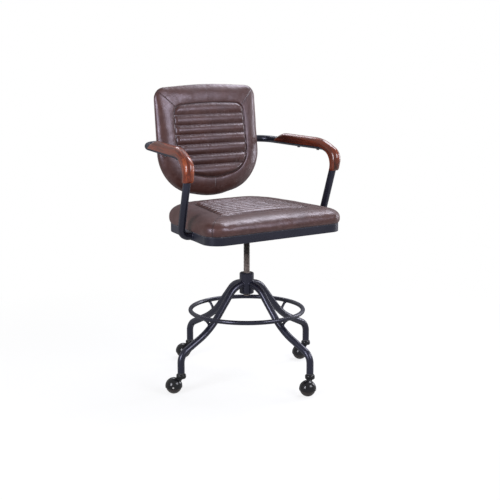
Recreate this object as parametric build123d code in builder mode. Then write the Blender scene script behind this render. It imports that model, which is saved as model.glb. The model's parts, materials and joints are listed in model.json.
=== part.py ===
from build123d import *
import os
from math import asin, cos, degrees, radians, sin, tan

# Office chair on a screw-lift spindle, with a four-legged caster base, a foot ring,
# a loop arm tube that carries the backrest, and channelled leather pads.
# Millimetres and degrees. The chair faces -Y, +Z is up, and the origin lies on the floor
# on the spindle's axis. Left and right are the sitter's: left is +X.

os.makedirs("parts", exist_ok=True)

# Fits
running_gap = 0.05  # a shaft that turns or slides in its hole, on the radius
press_gap = 0.02  # pieces pressed, screwed or glued together, on the radius
free_gap = 0.3  # pieces that pass one another

# Hub and spindle
hub_od = 50
hub_height = 74
hub_bottom_z = 297
hub_chamfer = 2.5
spindle_od = 22
spindle_tail = 9  # length that shows below the hub
spindle_chamfer = 2
spindle_clearance = 1  # round the spindle in the hub's lower bore
nut_od = 36
nut_length = 44
wiper_thickness = 5

# Legs: a bent tube, from the hub over a shoulder, a knee and an ankle down to the caster
leg_names = ("left", "back", "right", "front")
base_turn = 8.4  # how far the base stands turned against the seat
leg_tube_od = 24
leg_tube_wall = 2
leg_root_drop = 37  # from the hub's top to the tube's axis
leg_shoulder = (63, 323)  # radius and height of each bend's corner
leg_knee = (173, 194)
leg_radius = 305
leg_ankle_z = 132
leg_bottom_z = 71
leg_bends = (75, 250, 42)

# Foot ring
ring_radius = 197
ring_z = 239
ring_bar_od = 15
strut_od = 9

# Casters: each trails its stem in its own direction
caster_trail_angle = {"left": 173, "back": 144, "right": 144, "front": 215}
caster_trail = 25
wheel_radius = 26.5
wheel_clearance = 0.6
hood_wall = 1.5
hood_skirt = 5  # how far the hood's rim reaches below the axle
axle_od = 6
crown_od = 33
crown_height = 16
crown_round = 5
neck_od = 20
stem_od = 11
stem_seat = 11  # length held in the crown
stem_length = 40
socket_length = 30
socket_flange = 3
socket_roof = 2

# Seat frame: a flat band bent to a hoop, wider at the front
seat_front_width = 568
seat_rear_width = 415
seat_front_y = -199
seat_depth = 415
seat_front_corner = 52
seat_rear_corner = 120
frame_bottom_z = 518
frame_height = 29
frame_wall = 5
board_thickness = 15
board_gap = 1
crossbar_width = 30
crossbar_thickness = 8
crossbar_y = 60  # either side of the spindle
plate_width = 180
plate_overlap = 15  # past the crossbars' middle
plate_thickness = 6
collar_od = 44
collar_height = 12
plate_bolt_od = 8
plate_bolt_x = 60
plate_bolt_head = 13
plate_bolt_head_height = 5
board_screw_od = 5
board_screw_x = 150
board_screw_bite = 12
board_screw_head = 9
board_screw_head_height = 3

# Pads: a leather cover over foam, with a sewn panel of rolls
cover_wall = 2.5
seam_step = 1.5  # from the seam to the panel's edge
groove_lift = 0.5  # the lowest groove above the seam
foot_turns = (90, 55, 25)  # levels of the drawn-in foot, in degrees of its round
roll_turns = (0, 18, 36, 52, 66, 78)  # levels from the widest line to the seam

# Seat pad
seat_pad_height = 60
seat_climb = 2  # degrees by which its top rises to the rear
seat_belly = 18  # height of the widest line
seat_draw_in = 1  # at the foot of the cover
seat_bulge = 7
seat_seam_inset = 85
seat_seam_sink = 1.5
seat_rolls = 10
seat_roll_rise = 3
seat_crown_along = 2  # drop from the middle to the front and rear rolls
seat_crown_across = 6  # drop from the middle to the sides

# Arm tube
arm_tube_od = 25
arm_tube_wall = 2
arm_foot_y = -48  # where it meets the frame's side
arm_stand_off = 40  # from the frame to the upright's axis
arm_front = (306, -118, 249)  # corner of the front bend, with its height above the frame
arm_rear_past = 43  # from the backrest's side to the corner of the rear bend
arm_rear_y = 259
arm_rear_rise = 262  # above the frame
arm_bends = (28, 60, 66)

# Armrests
rest_tail = 3  # straight wood below the tube's front bend
rest_rear_y = 182
rest_width = 38
rest_over = 16  # wood above the tube
rest_before = 9  # wood before the upright
rest_lap = 1  # wood past the tube's axis
rest_slope = 24  # of the shoulder between the top and the front
rest_slope_at = 76  # from the front corner along the arm to the shoulder
rest_nose = 32  # length of the sloping rear end
rest_radii = (60, 130, 42, 14)  # nose, shoulder, front, toe
rest_round = 13  # of the long edges
rest_screw_at = (94, 189)  # along the arm, from the front corner
rest_screw_od = 4.5
rest_screw_bite = 12
rest_screw_head = 10
rest_screw_head_height = 3

# Backrest
back_lean = 5.1  # of the flat rear
back_front_lean = 8.8  # of the sitter's side
back_half_width = 213
back_top = 206
back_top_fall = 12  # from the middle of the top edge to its corners
back_side_low = -155.5
back_bottom = -198.6
back_corner_radii = (1500, 42, 154, 250)  # top, upper corner, lower corner, bottom
back_panel_thickness = 3
back_panel_inset = 3
back_board_thickness = 9
back_board_inset = 8
back_pad_height = 31
back_belly = 4
back_draw_in = 4
back_seam_inset = 66
back_seam_sink = 2
back_rolls = 7
back_roll_rise = 4.5
back_crown_along = 0.5
back_crown_across = 1.5
saddle_width = 22
saddle_height = 20
saddle_thickness = 2.5
saddle_wrap = 4  # how far it reaches round the tube
back_bolt_x = (-140, -60, 60, 140)
back_bolt_od = 6
back_bolt_bite = 7
back_bolt_head = 11
back_bolt_head_height = 4

# Heights and places that follow
smallest_corner = 12  # least corner radius of an inset outline
hub_top_z = hub_bottom_z + hub_height
frame_top_z = frame_bottom_z + frame_height
crossbar_top_z = frame_top_z - board_thickness
plate_top_z = crossbar_top_z - crossbar_thickness
plate_bottom_z = plate_top_z - plate_thickness
seat_rear_y = seat_front_y + seat_depth
arm_rear_z = frame_top_z + arm_rear_rise
wiper_bottom_z = hub_top_z - wiper_thickness
nut_top_z = wiper_bottom_z - free_gap
nut_bottom_z = nut_top_z - nut_length
leg_tube_r = leg_tube_od / 2
arm_tube_r = arm_tube_od / 2
leg_angle = {name: base_turn + 90 * turn for turn, name in enumerate(leg_names)}


def write(part, node):
    """Label a finished piece and write it under its own name."""
    part.label = node
    export_step(part, f"parts/{node}.step")


def radial_plane(angle):
    """Upright plane through the spindle's axis: local x is the radius, local y the height."""
    turn = radians(angle)
    return Plane((0, 0, 0), x_dir=(cos(turn), sin(turn), 0), z_dir=(sin(turn), -cos(turn), 0))


def inset_corners(corners, inset):
    """Corners of an outline whose sides all lie the same distance inside the given ones."""
    points = [Vector(*corner) for corner in corners]
    moved = []
    for index, point in enumerate(points):
        before = (point - points[index - 1]).normalized()
        after = (points[(index + 1) % len(points)] - point).normalized()
        inward = (after - before).normalized()
        half_turn = before.get_angle(after) / 2
        moved.append(point + inward * (inset / cos(radians(half_turn))))
    return moved


def inset_radii(radii, inset):
    """Corner radii that keep an inset outline parallel to the given one."""
    return [max(radius - inset, smallest_corner) for radius in radii]


def tilted(plane, depth, tilt):
    """A level of a pad, tilted about the pad's width by so many degrees per millimetre of depth."""
    return plane.offset(depth).rotated((tilt * depth, 0, 0))


def pad_sections(height, belly, draw_in, bulge, seam_inset, seam_sink, skin):
    """Depth and inset of each level of a pad: drawn-in foot, belly, then a round roll to the seam."""
    sections = []
    for turn in foot_turns:
        depth = belly * (1 - sin(radians(turn)))
        inset = skin - bulge + (draw_in + bulge) * (1 - cos(radians(turn)))
        sections.append((depth, inset))
    for turn in roll_turns:
        depth = belly + (height - skin - belly) * sin(radians(turn))
        inset = skin - bulge + (seam_inset + bulge) * (1 - cos(radians(turn)))
        sections.append((depth, inset))
    sections.append((height - skin - seam_sink, skin + seam_inset))
    return sections


def pad_form(plane, tilt, corners, radii, sections):
    """Closed pad through the levels, each an inset of one outline."""
    with BuildPart() as form:
        for depth, inset in sections:
            with BuildSketch(tilted(plane, depth, tilt)):
                with BuildLine():
                    FilletPolyline(
                        *inset_corners(corners, inset), radius=inset_radii(radii, inset), close=True
                    )
                make_face()
        loft(ruled=True)
    return form.part


def channelled_panel(plane, corners, radii, inset, face, along, across, rolls, rise):
    """Sewn rolls that run across the pad's face, crowned both ways and cut to the seam's outline."""
    base = face - cover_wall / 2
    crown = face + groove_lift + rise + along + across
    seam = inset_corners(corners, inset)
    low = min(point.Y for point in seam) - seam_step
    high = max(point.Y for point in seam) + seam_step
    half_width = max(point.X for point in seam)
    middle = (low + high) / 2
    half_length = (high - low) / 2
    crown_radius = (half_width**2 + across**2) / (2 * across)
    sweep_angle = degrees(asin(half_width / crown_radius)) + 1

    def surface(place):
        return crown - along * ((place - middle) / half_length) ** 2

    edges = [low + (high - low) * index / rolls for index in range(rolls + 1)]
    profile_plane = Plane(plane.origin, x_dir=plane.y_dir, z_dir=plane.x_dir)
    centre = plane.origin + plane.z_dir * (crown - crown_radius)
    with BuildPart() as panel:
        with BuildSketch(profile_plane) as profile:
            with BuildLine():
                for start, end in zip(edges, edges[1:]):
                    crest = (start + end) / 2
                    ThreePointArc(
                        (start, surface(start) - rise), (crest, surface(crest)), (end, surface(end) - rise)
                    )
                Polyline(
                    (high, surface(high) - rise),
                    (high, base - across),
                    (low, base - across),
                    (low, surface(low) - rise),
                )
            make_face()
        revolve(axis=Axis(centre, plane.y_dir), revolution_arc=sweep_angle)
        revolve(profile.sketch, axis=Axis(centre, -plane.y_dir), revolution_arc=sweep_angle)
        with BuildSketch(plane.offset(base)):
            with BuildLine():
                FilletPolyline(*seam, radius=inset_radii(radii, inset), close=True)
            make_face()
        extrude(amount=crown, mode=Mode.INTERSECT)
    return panel.part


def pins(plane, places, radius, length):
    """Round bars of one size, standing on a plane."""
    with BuildPart() as bars:
        with BuildSketch(plane):
            with Locations(*places):
                Circle(radius)
        extrude(amount=length)
    return bars.part


# Hub sleeve
with BuildPart() as hub_sleeve:
    with BuildSketch(Plane.XY.offset(hub_bottom_z)):
        Circle(hub_od / 2)
    extrude(amount=hub_height)
    chamfer(hub_sleeve.edges().filter_by(GeomType.CIRCLE), hub_chamfer)
    with BuildSketch(Plane.XY.offset(hub_bottom_z)):
        Circle(spindle_od / 2 + spindle_clearance)
    extrude(amount=hub_height, mode=Mode.SUBTRACT)
    with BuildSketch(Plane.XY.offset(nut_bottom_z)):
        Circle(nut_od / 2 + press_gap)
    extrude(amount=hub_top_z - nut_bottom_z, mode=Mode.SUBTRACT)
write(hub_sleeve.part, "hub_sleeve")

# Spindle nut, pressed into the hub
with BuildPart() as spindle_nut:
    with BuildSketch(Plane.XY.offset(nut_bottom_z)):
        Circle(nut_od / 2)
        Circle(spindle_od / 2 + running_gap, mode=Mode.SUBTRACT)
    extrude(amount=nut_length)
write(spindle_nut.part, "spindle_nut")

# Wiper ring on the nut, which turns with the spindle
with BuildPart() as wiper_ring:
    with BuildSketch(Plane.XY.offset(wiper_bottom_z)):
        Circle(nut_od / 2 - free_gap)
        Circle(spindle_od / 2 + running_gap, mode=Mode.SUBTRACT)
    extrude(amount=wiper_thickness)
write(wiper_ring.part, "wiper_ring")

# Foot ring
with BuildPart() as foot_ring:
    with Locations((0, 0, ring_z)):
        Torus(ring_radius, ring_bar_od / 2)
write(foot_ring.part, "foot_ring")

# Legs, coped to the hub
leg_points = (
    (hub_od / 4, hub_top_z - leg_root_drop),
    leg_shoulder,
    leg_knee,
    (leg_radius, leg_ankle_z),
    (leg_radius, leg_bottom_z),
)
leg_cores = {}
strut_ends = {}
for name, angle in leg_angle.items():
    with BuildPart() as leg_core:
        with BuildLine(radial_plane(angle)) as leg_path:
            FilletPolyline(*leg_points, radius=leg_bends)
        with BuildSketch(Plane(leg_path.line @ 0, z_dir=leg_path.line % 0)):
            Circle(leg_tube_r)
        sweep()
    with BuildPart() as leg:
        add(leg_core.part)
        with BuildSketch(Plane(leg_path.line @ 0, z_dir=leg_path.line % 0)):
            Circle(leg_tube_r - leg_tube_wall)
        sweep(path=leg_path.line, mode=Mode.SUBTRACT)
        with BuildSketch(Plane.XY.offset(hub_bottom_z)):
            Circle(hub_od / 2)
        extrude(amount=hub_height, mode=Mode.SUBTRACT)
    write(leg.part, f"leg_{name}")
    ring_point = radial_plane(angle).from_local_coords(Vector(ring_radius, ring_z, 0))
    leg_cores[name] = leg_core.part
    strut_ends[name] = (ring_point, leg_path.line.closest_points(Vertex(*ring_point))[0])

# Struts between the foot ring and the legs
with BuildPart() as ring_struts:
    for name, (ring_point, leg_point) in strut_ends.items():
        with BuildSketch(Plane(ring_point, z_dir=leg_point - ring_point)):
            Circle(strut_od / 2)
        extrude(amount=(leg_point - ring_point).length)
    for core in leg_cores.values():
        add(core, mode=Mode.SUBTRACT)
    add(foot_ring.part, mode=Mode.SUBTRACT)
write(ring_struts.part, "ring_struts")

# Sockets in the leg ends
crown_top_z = leg_bottom_z - socket_flange - free_gap
crown_bottom_z = crown_top_z - crown_height
stem_bottom_z = crown_top_z - stem_seat
stem_top_z = stem_bottom_z + stem_length
with BuildPart() as caster_sockets:
    for angle in leg_angle.values():
        foot = radial_plane(angle).from_local_coords(Vector(leg_radius, leg_bottom_z, 0))
        with BuildSketch(Plane(foot)):
            Circle(leg_tube_r)
        extrude(amount=-socket_flange)
        with BuildSketch(Plane(foot)):
            Circle(leg_tube_r - leg_tube_wall - press_gap)
        extrude(amount=socket_length)
        with BuildSketch(Plane(foot).offset(-socket_flange)):
            Circle(stem_od / 2 + running_gap)
        extrude(amount=stem_top_z + socket_roof - leg_bottom_z + socket_flange, mode=Mode.SUBTRACT)
write(caster_sockets.part, "caster_sockets")

# Casters
cavity_r = wheel_radius + wheel_clearance
hood_r = cavity_r + hood_wall
for name, angle in leg_angle.items():
    foot = radial_plane(angle).from_local_coords(Vector(leg_radius, 0, 0))
    trail_turn = radians(caster_trail_angle[name])
    caster_plane = Plane(foot, x_dir=(cos(trail_turn), sin(trail_turn), 0), z_dir=(0, 0, 1))
    side_plane = Plane(foot, x_dir=caster_plane.x_dir, z_dir=-caster_plane.y_dir)
    crown_middle = caster_plane.from_local_coords(Vector(0, 0, crown_bottom_z + crown_height / 2))
    ball_centre = caster_plane.from_local_coords(Vector(caster_trail, 0, wheel_radius))

    with BuildPart() as caster_stem:
        with BuildSketch(caster_plane.offset(stem_bottom_z)):
            Circle(stem_od / 2)
        extrude(amount=stem_length)
    write(caster_stem.part, f"caster_{name}_stem")

    with BuildPart() as caster_hood:
        with BuildSketch(caster_plane.offset(crown_bottom_z)):
            Circle(crown_od / 2)
        extrude(amount=crown_height)
        fillet(caster_hood.edges().filter_by(GeomType.CIRCLE), crown_round)
        with BuildSketch(Plane(crown_middle, z_dir=ball_centre - crown_middle)):
            Circle(neck_od / 2)
        extrude(amount=(ball_centre - crown_middle).length)
        with Locations(ball_centre):
            Sphere(hood_r)
        with Locations(ball_centre):
            Sphere(cavity_r, mode=Mode.SUBTRACT)
        with BuildSketch(caster_plane.offset(wheel_radius - hood_skirt)):
            with Locations((caster_trail, 0)):
                Circle(2 * hood_r)
        extrude(amount=-2 * hood_r, mode=Mode.SUBTRACT)
        with BuildSketch(caster_plane.offset(crown_top_z)):
            Circle(crown_od)
        extrude(amount=crown_height, mode=Mode.SUBTRACT)
        with BuildSketch(caster_plane.offset(stem_bottom_z)):
            Circle(stem_od / 2 + press_gap)
        extrude(amount=stem_seat, mode=Mode.SUBTRACT)
        with BuildSketch(side_plane):
            with Locations((caster_trail, wheel_radius)):
                Circle(axle_od / 2 + press_gap)
        extrude(amount=hood_r, both=True, mode=Mode.SUBTRACT)
    write(caster_hood.part, f"caster_{name}_hood")

    with BuildPart() as caster_axle:
        with BuildSketch(side_plane):
            with Locations((caster_trail, wheel_radius)):
                Circle(axle_od / 2)
        extrude(amount=hood_r - hood_wall / 2, both=True)
    write(caster_axle.part, f"caster_{name}_axle")

    with BuildPart() as caster_wheel:
        with Locations(ball_centre):
            Sphere(wheel_radius)
        with BuildSketch(side_plane):
            with Locations((caster_trail, wheel_radius)):
                Circle(axle_od / 2 + running_gap)
        extrude(amount=wheel_radius, both=True, mode=Mode.SUBTRACT)
    write(caster_wheel.part, f"caster_{name}_wheel")

# Spindle
spindle_bottom_z = hub_bottom_z - spindle_tail
with BuildPart() as spindle:
    with BuildSketch(Plane.XY.offset(spindle_bottom_z)):
        Circle(spindle_od / 2)
    extrude(amount=plate_bottom_z - spindle_bottom_z)
    chamfer(spindle.edges().filter_by(GeomType.CIRCLE).sort_by(Axis.Z)[0], spindle_chamfer)
write(spindle.part, "spindle")

# Seat plate with the collar that holds the spindle
plate_bolt_places = [(x, y) for x in (-plate_bolt_x, plate_bolt_x) for y in (-crossbar_y, crossbar_y)]
with BuildPart() as seat_plate:
    with BuildSketch(Plane.XY.offset(plate_bottom_z)):
        Rectangle(plate_width, 2 * (crossbar_y + plate_overlap))
        with Locations(*plate_bolt_places):
            Circle(plate_bolt_od / 2 + free_gap, mode=Mode.SUBTRACT)
    extrude(amount=plate_thickness)
    with BuildSketch(Plane.XY.offset(plate_bottom_z)):
        Circle(collar_od / 2)
        Circle(spindle_od / 2 + press_gap, mode=Mode.SUBTRACT)
    extrude(amount=-collar_height)
write(seat_plate.part, "seat_plate")

# Bolts through the plate into the crossbars
with BuildPart() as seat_plate_bolts:
    with BuildSketch(Plane.XY.offset(plate_bottom_z)):
        with Locations(*plate_bolt_places):
            Circle(plate_bolt_od / 2)
    extrude(amount=plate_thickness + crossbar_thickness)
    with BuildSketch(Plane.XY.offset(plate_bottom_z)):
        with Locations(*plate_bolt_places):
            RegularPolygon(plate_bolt_head / 2, 6, major_radius=False)
    extrude(amount=-plate_bolt_head_height)
write(seat_plate_bolts.part, "seat_plate_bolts")

# Outline of the seat, front right first, counter-clockwise from above
seat_corners = (
    (-seat_front_width / 2, seat_front_y),
    (seat_front_width / 2, seat_front_y),
    (seat_rear_width / 2, seat_rear_y),
    (-seat_rear_width / 2, seat_rear_y),
)
seat_radii = (seat_front_corner, seat_front_corner, seat_rear_corner, seat_rear_corner)
seat_plane = Plane.XY.offset(frame_top_z)

# Seat frame
with BuildPart() as seat_frame:
    with BuildSketch(Plane.XY.offset(frame_bottom_z)):
        with BuildLine():
            FilletPolyline(*seat_corners, radius=seat_radii, close=True)
        make_face()
        with BuildLine():
            FilletPolyline(
                *inset_corners(seat_corners, frame_wall),
                radius=inset_radii(seat_radii, frame_wall),
                close=True,
            )
        make_face(mode=Mode.SUBTRACT)
    extrude(amount=frame_height)
write(seat_frame.part, "seat_frame")

# Crossbars, welded between the frame's sides
board_screw_places = [(x, y) for x in (-board_screw_x, board_screw_x) for y in (-crossbar_y, crossbar_y)]
with BuildPart() as seat_crossbars:
    with BuildSketch(Plane.XY.offset(plate_top_z)):
        with BuildLine():
            FilletPolyline(
                *inset_corners(seat_corners, frame_wall),
                radius=inset_radii(seat_radii, frame_wall),
                close=True,
            )
        make_face()
        with Locations((0, -crossbar_y), (0, crossbar_y)):
            Rectangle(seat_front_width, crossbar_width, mode=Mode.INTERSECT)
        with Locations(*plate_bolt_places):
            Circle(plate_bolt_od / 2 + press_gap, mode=Mode.SUBTRACT)
        with Locations(*board_screw_places):
            Circle(board_screw_od / 2 + free_gap, mode=Mode.SUBTRACT)
    extrude(amount=crossbar_thickness)
write(seat_crossbars.part, "seat_crossbars")

# Seat board inside the frame, on the crossbars
with BuildPart() as seat_board:
    with BuildSketch(Plane.XY.offset(crossbar_top_z)):
        with BuildLine():
            FilletPolyline(
                *inset_corners(seat_corners, frame_wall + board_gap),
                radius=inset_radii(seat_radii, frame_wall + board_gap),
                close=True,
            )
        make_face()
    extrude(amount=board_thickness)
    with BuildSketch(Plane.XY.offset(crossbar_top_z)):
        with Locations(*board_screw_places):
            Circle(board_screw_od / 2 + press_gap)
    extrude(amount=board_screw_bite, mode=Mode.SUBTRACT)
write(seat_board.part, "seat_board")

# Screws through the crossbars into the board
with BuildPart() as seat_board_screws:
    with BuildSketch(Plane.XY.offset(plate_top_z)):
        with Locations(*board_screw_places):
            Circle(board_screw_od / 2)
    extrude(amount=crossbar_thickness + board_screw_bite)
    with BuildSketch(Plane.XY.offset(plate_top_z)):
        with Locations(*board_screw_places):
            Circle(board_screw_head / 2)
    extrude(amount=-board_screw_head_height)
write(seat_board_screws.part, "seat_board_screws")

# Seat foam and its leather cover
seat_shape = (seat_pad_height, seat_belly, seat_draw_in, seat_bulge, seat_seam_inset, seat_seam_sink)
seat_tilt = seat_climb / seat_pad_height
seat_form = (seat_plane, seat_tilt, seat_corners, seat_radii)
with BuildPart() as seat_foam:
    add(pad_form(*seat_form, pad_sections(*seat_shape, cover_wall + free_gap)))
write(seat_foam.part, "seat_foam")

seat_panel = channelled_panel(
    tilted(seat_plane, seat_pad_height, seat_tilt).offset(-seat_pad_height),
    seat_corners,
    seat_radii,
    seat_seam_inset + seam_step,
    seat_pad_height - seat_seam_sink,
    seat_crown_along,
    seat_crown_across,
    seat_rolls,
    seat_roll_rise,
)
with BuildPart() as seat_cover:
    add(pad_form(*seat_form, pad_sections(*seat_shape, 0)))
    add(pad_form(*seat_form, pad_sections(*seat_shape, cover_wall)), mode=Mode.SUBTRACT)
    add(seat_panel)
write(seat_cover.part, "seat_cover")

# Route of the arm tube, left half first: frame, upright, front bend, rear bend
side_start = Vector(seat_front_width / 2, seat_front_y, 0)
side_end = Vector(seat_rear_width / 2, seat_rear_y, 0)
side_run = (side_end - side_start).normalized()
side_out = Vector(side_run.Y, -side_run.X, 0)
side_step = (arm_foot_y - seat_front_y) / side_run.Y
foot_z = frame_bottom_z + frame_height / 2
arm_foot = side_start + side_run * side_step + Vector(0, 0, foot_z)
arm_rear = Vector(back_half_width + arm_rear_past, arm_rear_y, arm_rear_z)
arm_corner = Vector(*arm_front) + Vector(0, 0, frame_top_z)
arm_left = [arm_foot, arm_foot + side_out * arm_stand_off, arm_corner, arm_rear]


def to_side(vector, side):
    """The same point or direction on the left (1) or the right (-1)."""
    return Vector(side * vector.X, vector.Y, vector.Z)


arm_route = arm_left + [to_side(point, -1) for point in reversed(arm_left)]
upright = (arm_left[2] - arm_left[1]).normalized()
along = (arm_left[3] - arm_left[2]).normalized()
top_out = (upright - along * along.dot(upright)).normalized()

# Backrest plane, on the back board's rear face
lean = radians(back_lean)
back_out = Vector(0, -cos(lean), sin(lean))
rear_middle = Vector(0, arm_rear_y, arm_rear_z)
back_plane = Plane(
    rear_middle + back_out * (arm_tube_r + saddle_thickness + back_panel_thickness),
    x_dir=(1, 0, 0),
    z_dir=back_out,
)
bolt_plane = Plane(rear_middle - back_out * arm_tube_r, x_dir=(1, 0, 0), z_dir=back_out)
back_bolt_places = [(x, 0) for x in back_bolt_x]
bolt_reach = arm_tube_od + saddle_thickness + back_panel_thickness + back_bolt_bite

# Screw lines of the armrests: where each crosses the tube's underside
rest_screw_planes = [
    Plane(
        to_side(arm_left[2] + along * distance - top_out * arm_tube_r, side),
        z_dir=to_side(top_out, side),
    )
    for side in (1, -1)
    for distance in rest_screw_at
]

# Arm tube
with BuildPart() as arm_tube:
    with BuildLine() as arm_path:
        FilletPolyline(*arm_route, radius=arm_bends + arm_bends[::-1])
    with BuildSketch(Plane(arm_path.line @ 0, z_dir=arm_path.line % 0)):
        Circle(arm_tube_r)
        Circle(arm_tube_r - arm_tube_wall, mode=Mode.SUBTRACT)
    sweep()
    for plane in rest_screw_planes:
        add(
            pins(plane.offset(-arm_tube_wall), [(0, 0)], rest_screw_od / 2 + free_gap, 2 * arm_tube_od),
            mode=Mode.SUBTRACT,
        )
    back_bolt_hole = back_bolt_od / 2 + free_gap
    add(
        pins(bolt_plane.offset(-arm_tube_wall), back_bolt_places, back_bolt_hole, 2 * arm_tube_od),
        mode=Mode.SUBTRACT,
    )
write(arm_tube.part, "arm_tube")

# Groove that the arm tube needs in the wood
with BuildPart() as tube_groove:
    with BuildSketch(Plane(arm_path.line @ 0, z_dir=arm_path.line % 0)):
        Circle(arm_tube_r + press_gap)
    sweep(path=arm_path.line)

# Side profile of an armrest: x runs along the arm to the rear, y up from the tube's axis
arm_turn = upright.get_angle(along)
down = Vector(cos(radians(180 - arm_turn)), -sin(radians(180 - arm_turn)))
forward = Vector(down.Y, -down.X)
rest_top = arm_tube_r + rest_over
rest_face = arm_tube_r + rest_before
rest_length = (rest_rear_y - arm_left[2].Y) / along.Y
rest_drop = arm_bends[1] * tan(radians(arm_turn / 2)) + rest_tail
shoulder = Vector(rest_slope_at, rest_top)
shoulder_run = Vector(-cos(radians(rest_slope)), -sin(radians(rest_slope)))
rest_outer = (
    Vector(rest_length, -rest_lap),
    Vector(rest_length - rest_nose, rest_top),
    shoulder,
    shoulder + shoulder_run * ((rest_face - shoulder.dot(forward)) / shoulder_run.dot(forward)),
    forward * rest_face + down * rest_drop,
    forward * -rest_lap + down * rest_drop,
)
inner_corner = Vector(rest_lap * (forward.Y - 1) / forward.X, -rest_lap)

# Wooden armrests, bent over the front of the arm tube
for side_name, side in (("left", 1), ("right", -1)):
    arm_x = to_side(along, side)
    arm_y = to_side(top_out, side)
    with BuildPart() as armrest:
        with BuildSketch(Plane(to_side(arm_left[2], side), x_dir=arm_x, z_dir=arm_x.cross(arm_y))):
            with BuildLine():
                FilletPolyline(*rest_outer, radius=rest_radii)
                FilletPolyline(
                    rest_outer[-1], inner_corner, rest_outer[0], radius=arm_bends[1] - rest_lap
                )
            make_face()
        extrude(amount=rest_width / 2, both=True)
        fillet(armrest.edges().group_by(Axis((0, 0, 0), arm_y))[-1], rest_round)
        add(tube_groove.part, mode=Mode.SUBTRACT)
        for plane in rest_screw_planes:
            add(
                pins(plane, [(0, 0)], rest_screw_od / 2 + press_gap, arm_tube_od + rest_screw_bite),
                mode=Mode.SUBTRACT,
            )
    write(armrest.part, f"armrest_{side_name}")

# Screws from below the arm tube into the wood
with BuildPart() as armrest_screws:
    for plane in rest_screw_planes:
        with BuildSketch(plane):
            Circle(rest_screw_od / 2)
        extrude(amount=arm_tube_od + rest_screw_bite)
        with BuildSketch(plane):
            Circle(rest_screw_head / 2)
        extrude(amount=-rest_screw_head_height)
write(armrest_screws.part, "armrest_screws")

# Outline of the backrest in its own plane, from the middle of the top, counter-clockwise from the front
back_corners = (
    (0, back_top),
    (-back_half_width, back_top - back_top_fall),
    (-back_half_width, back_side_low),
    (0, back_bottom),
    (back_half_width, back_side_low),
    (back_half_width, back_top - back_top_fall),
)
top_radius, upper_radius, lower_radius, bottom_radius = back_corner_radii
back_radii = (top_radius, upper_radius, lower_radius, bottom_radius, lower_radius, upper_radius)

# Inside of the back's cover
back_shape = (back_pad_height, back_belly, back_draw_in, 0, back_seam_inset, back_seam_sink)
back_tilt = (back_lean - back_front_lean) / back_pad_height
back_form = (back_plane, back_tilt, back_corners, back_radii)
back_inside = pad_form(*back_form, pad_sections(*back_shape, cover_wall + free_gap))

# Rear panel that closes the back
with BuildPart() as back_rear_panel:
    with BuildSketch(back_plane):
        with BuildLine():
            FilletPolyline(
                *inset_corners(back_corners, back_panel_inset),
                radius=inset_radii(back_radii, back_panel_inset),
                close=True,
            )
        make_face()
        with Locations(*back_bolt_places):
            Circle(back_bolt_od / 2 + free_gap, mode=Mode.SUBTRACT)
    extrude(amount=-back_panel_thickness)
write(back_rear_panel.part, "back_rear_panel")

# Back board
with BuildPart() as back_board:
    with BuildSketch(back_plane):
        with BuildLine():
            FilletPolyline(
                *inset_corners(back_corners, back_board_inset),
                radius=inset_radii(back_radii, back_board_inset),
                close=True,
            )
        make_face()
    extrude(amount=back_board_thickness)
    add(back_inside, mode=Mode.INTERSECT)
    add(pins(back_plane, back_bolt_places, back_bolt_od / 2 + press_gap, back_bolt_bite), mode=Mode.SUBTRACT)
write(back_board.part, "back_board")

# Saddles between the arm tube and the rear panel
with BuildPart() as back_saddles:
    with BuildSketch(back_plane.offset(-back_panel_thickness)):
        with Locations(*back_bolt_places):
            Rectangle(saddle_width, saddle_height)
        with Locations(*back_bolt_places):
            Circle(back_bolt_od / 2 + free_gap, mode=Mode.SUBTRACT)
    extrude(amount=-saddle_thickness - saddle_wrap)
    with BuildSketch(Plane(rear_middle, z_dir=(1, 0, 0))):
        Circle(arm_tube_r)
    extrude(amount=arm_rear.X, both=True, mode=Mode.SUBTRACT)
write(back_saddles.part, "back_saddles")

# Bolts from behind the arm tube into the back board
with BuildPart() as back_bolts:
    with BuildSketch(bolt_plane):
        with Locations(*back_bolt_places):
            Circle(back_bolt_od / 2)
    extrude(amount=bolt_reach)
    with BuildSketch(bolt_plane):
        with Locations(*back_bolt_places):
            Circle(back_bolt_head / 2)
    extrude(amount=-back_bolt_head_height)
write(back_bolts.part, "back_bolts")

# Back foam and its leather cover
with BuildPart() as back_foam:
    add(back_inside)
    split(bisect_by=back_plane.offset(back_board_thickness), keep=Keep.TOP)
write(back_foam.part, "back_foam")

back_panel = channelled_panel(
    tilted(back_plane, back_pad_height, back_tilt).offset(-back_pad_height),
    back_corners,
    back_radii,
    back_seam_inset + seam_step,
    back_pad_height - back_seam_sink,
    back_crown_along,
    back_crown_across,
    back_rolls,
    back_roll_rise,
)
with BuildPart() as back_cover:
    add(pad_form(*back_form, pad_sections(*back_shape, 0)))
    add(pad_form(*back_form, pad_sections(*back_shape, cover_wall)), mode=Mode.SUBTRACT)
    add(back_panel)
write(back_cover.part, "back_cover")
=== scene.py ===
import json
from math import acos, cos, pi, radians, sin, tan

import bpy
import numpy as np
from mathutils import Matrix, Vector, noise
from mathutils.geometry import delaunay_2d_cdt


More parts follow.
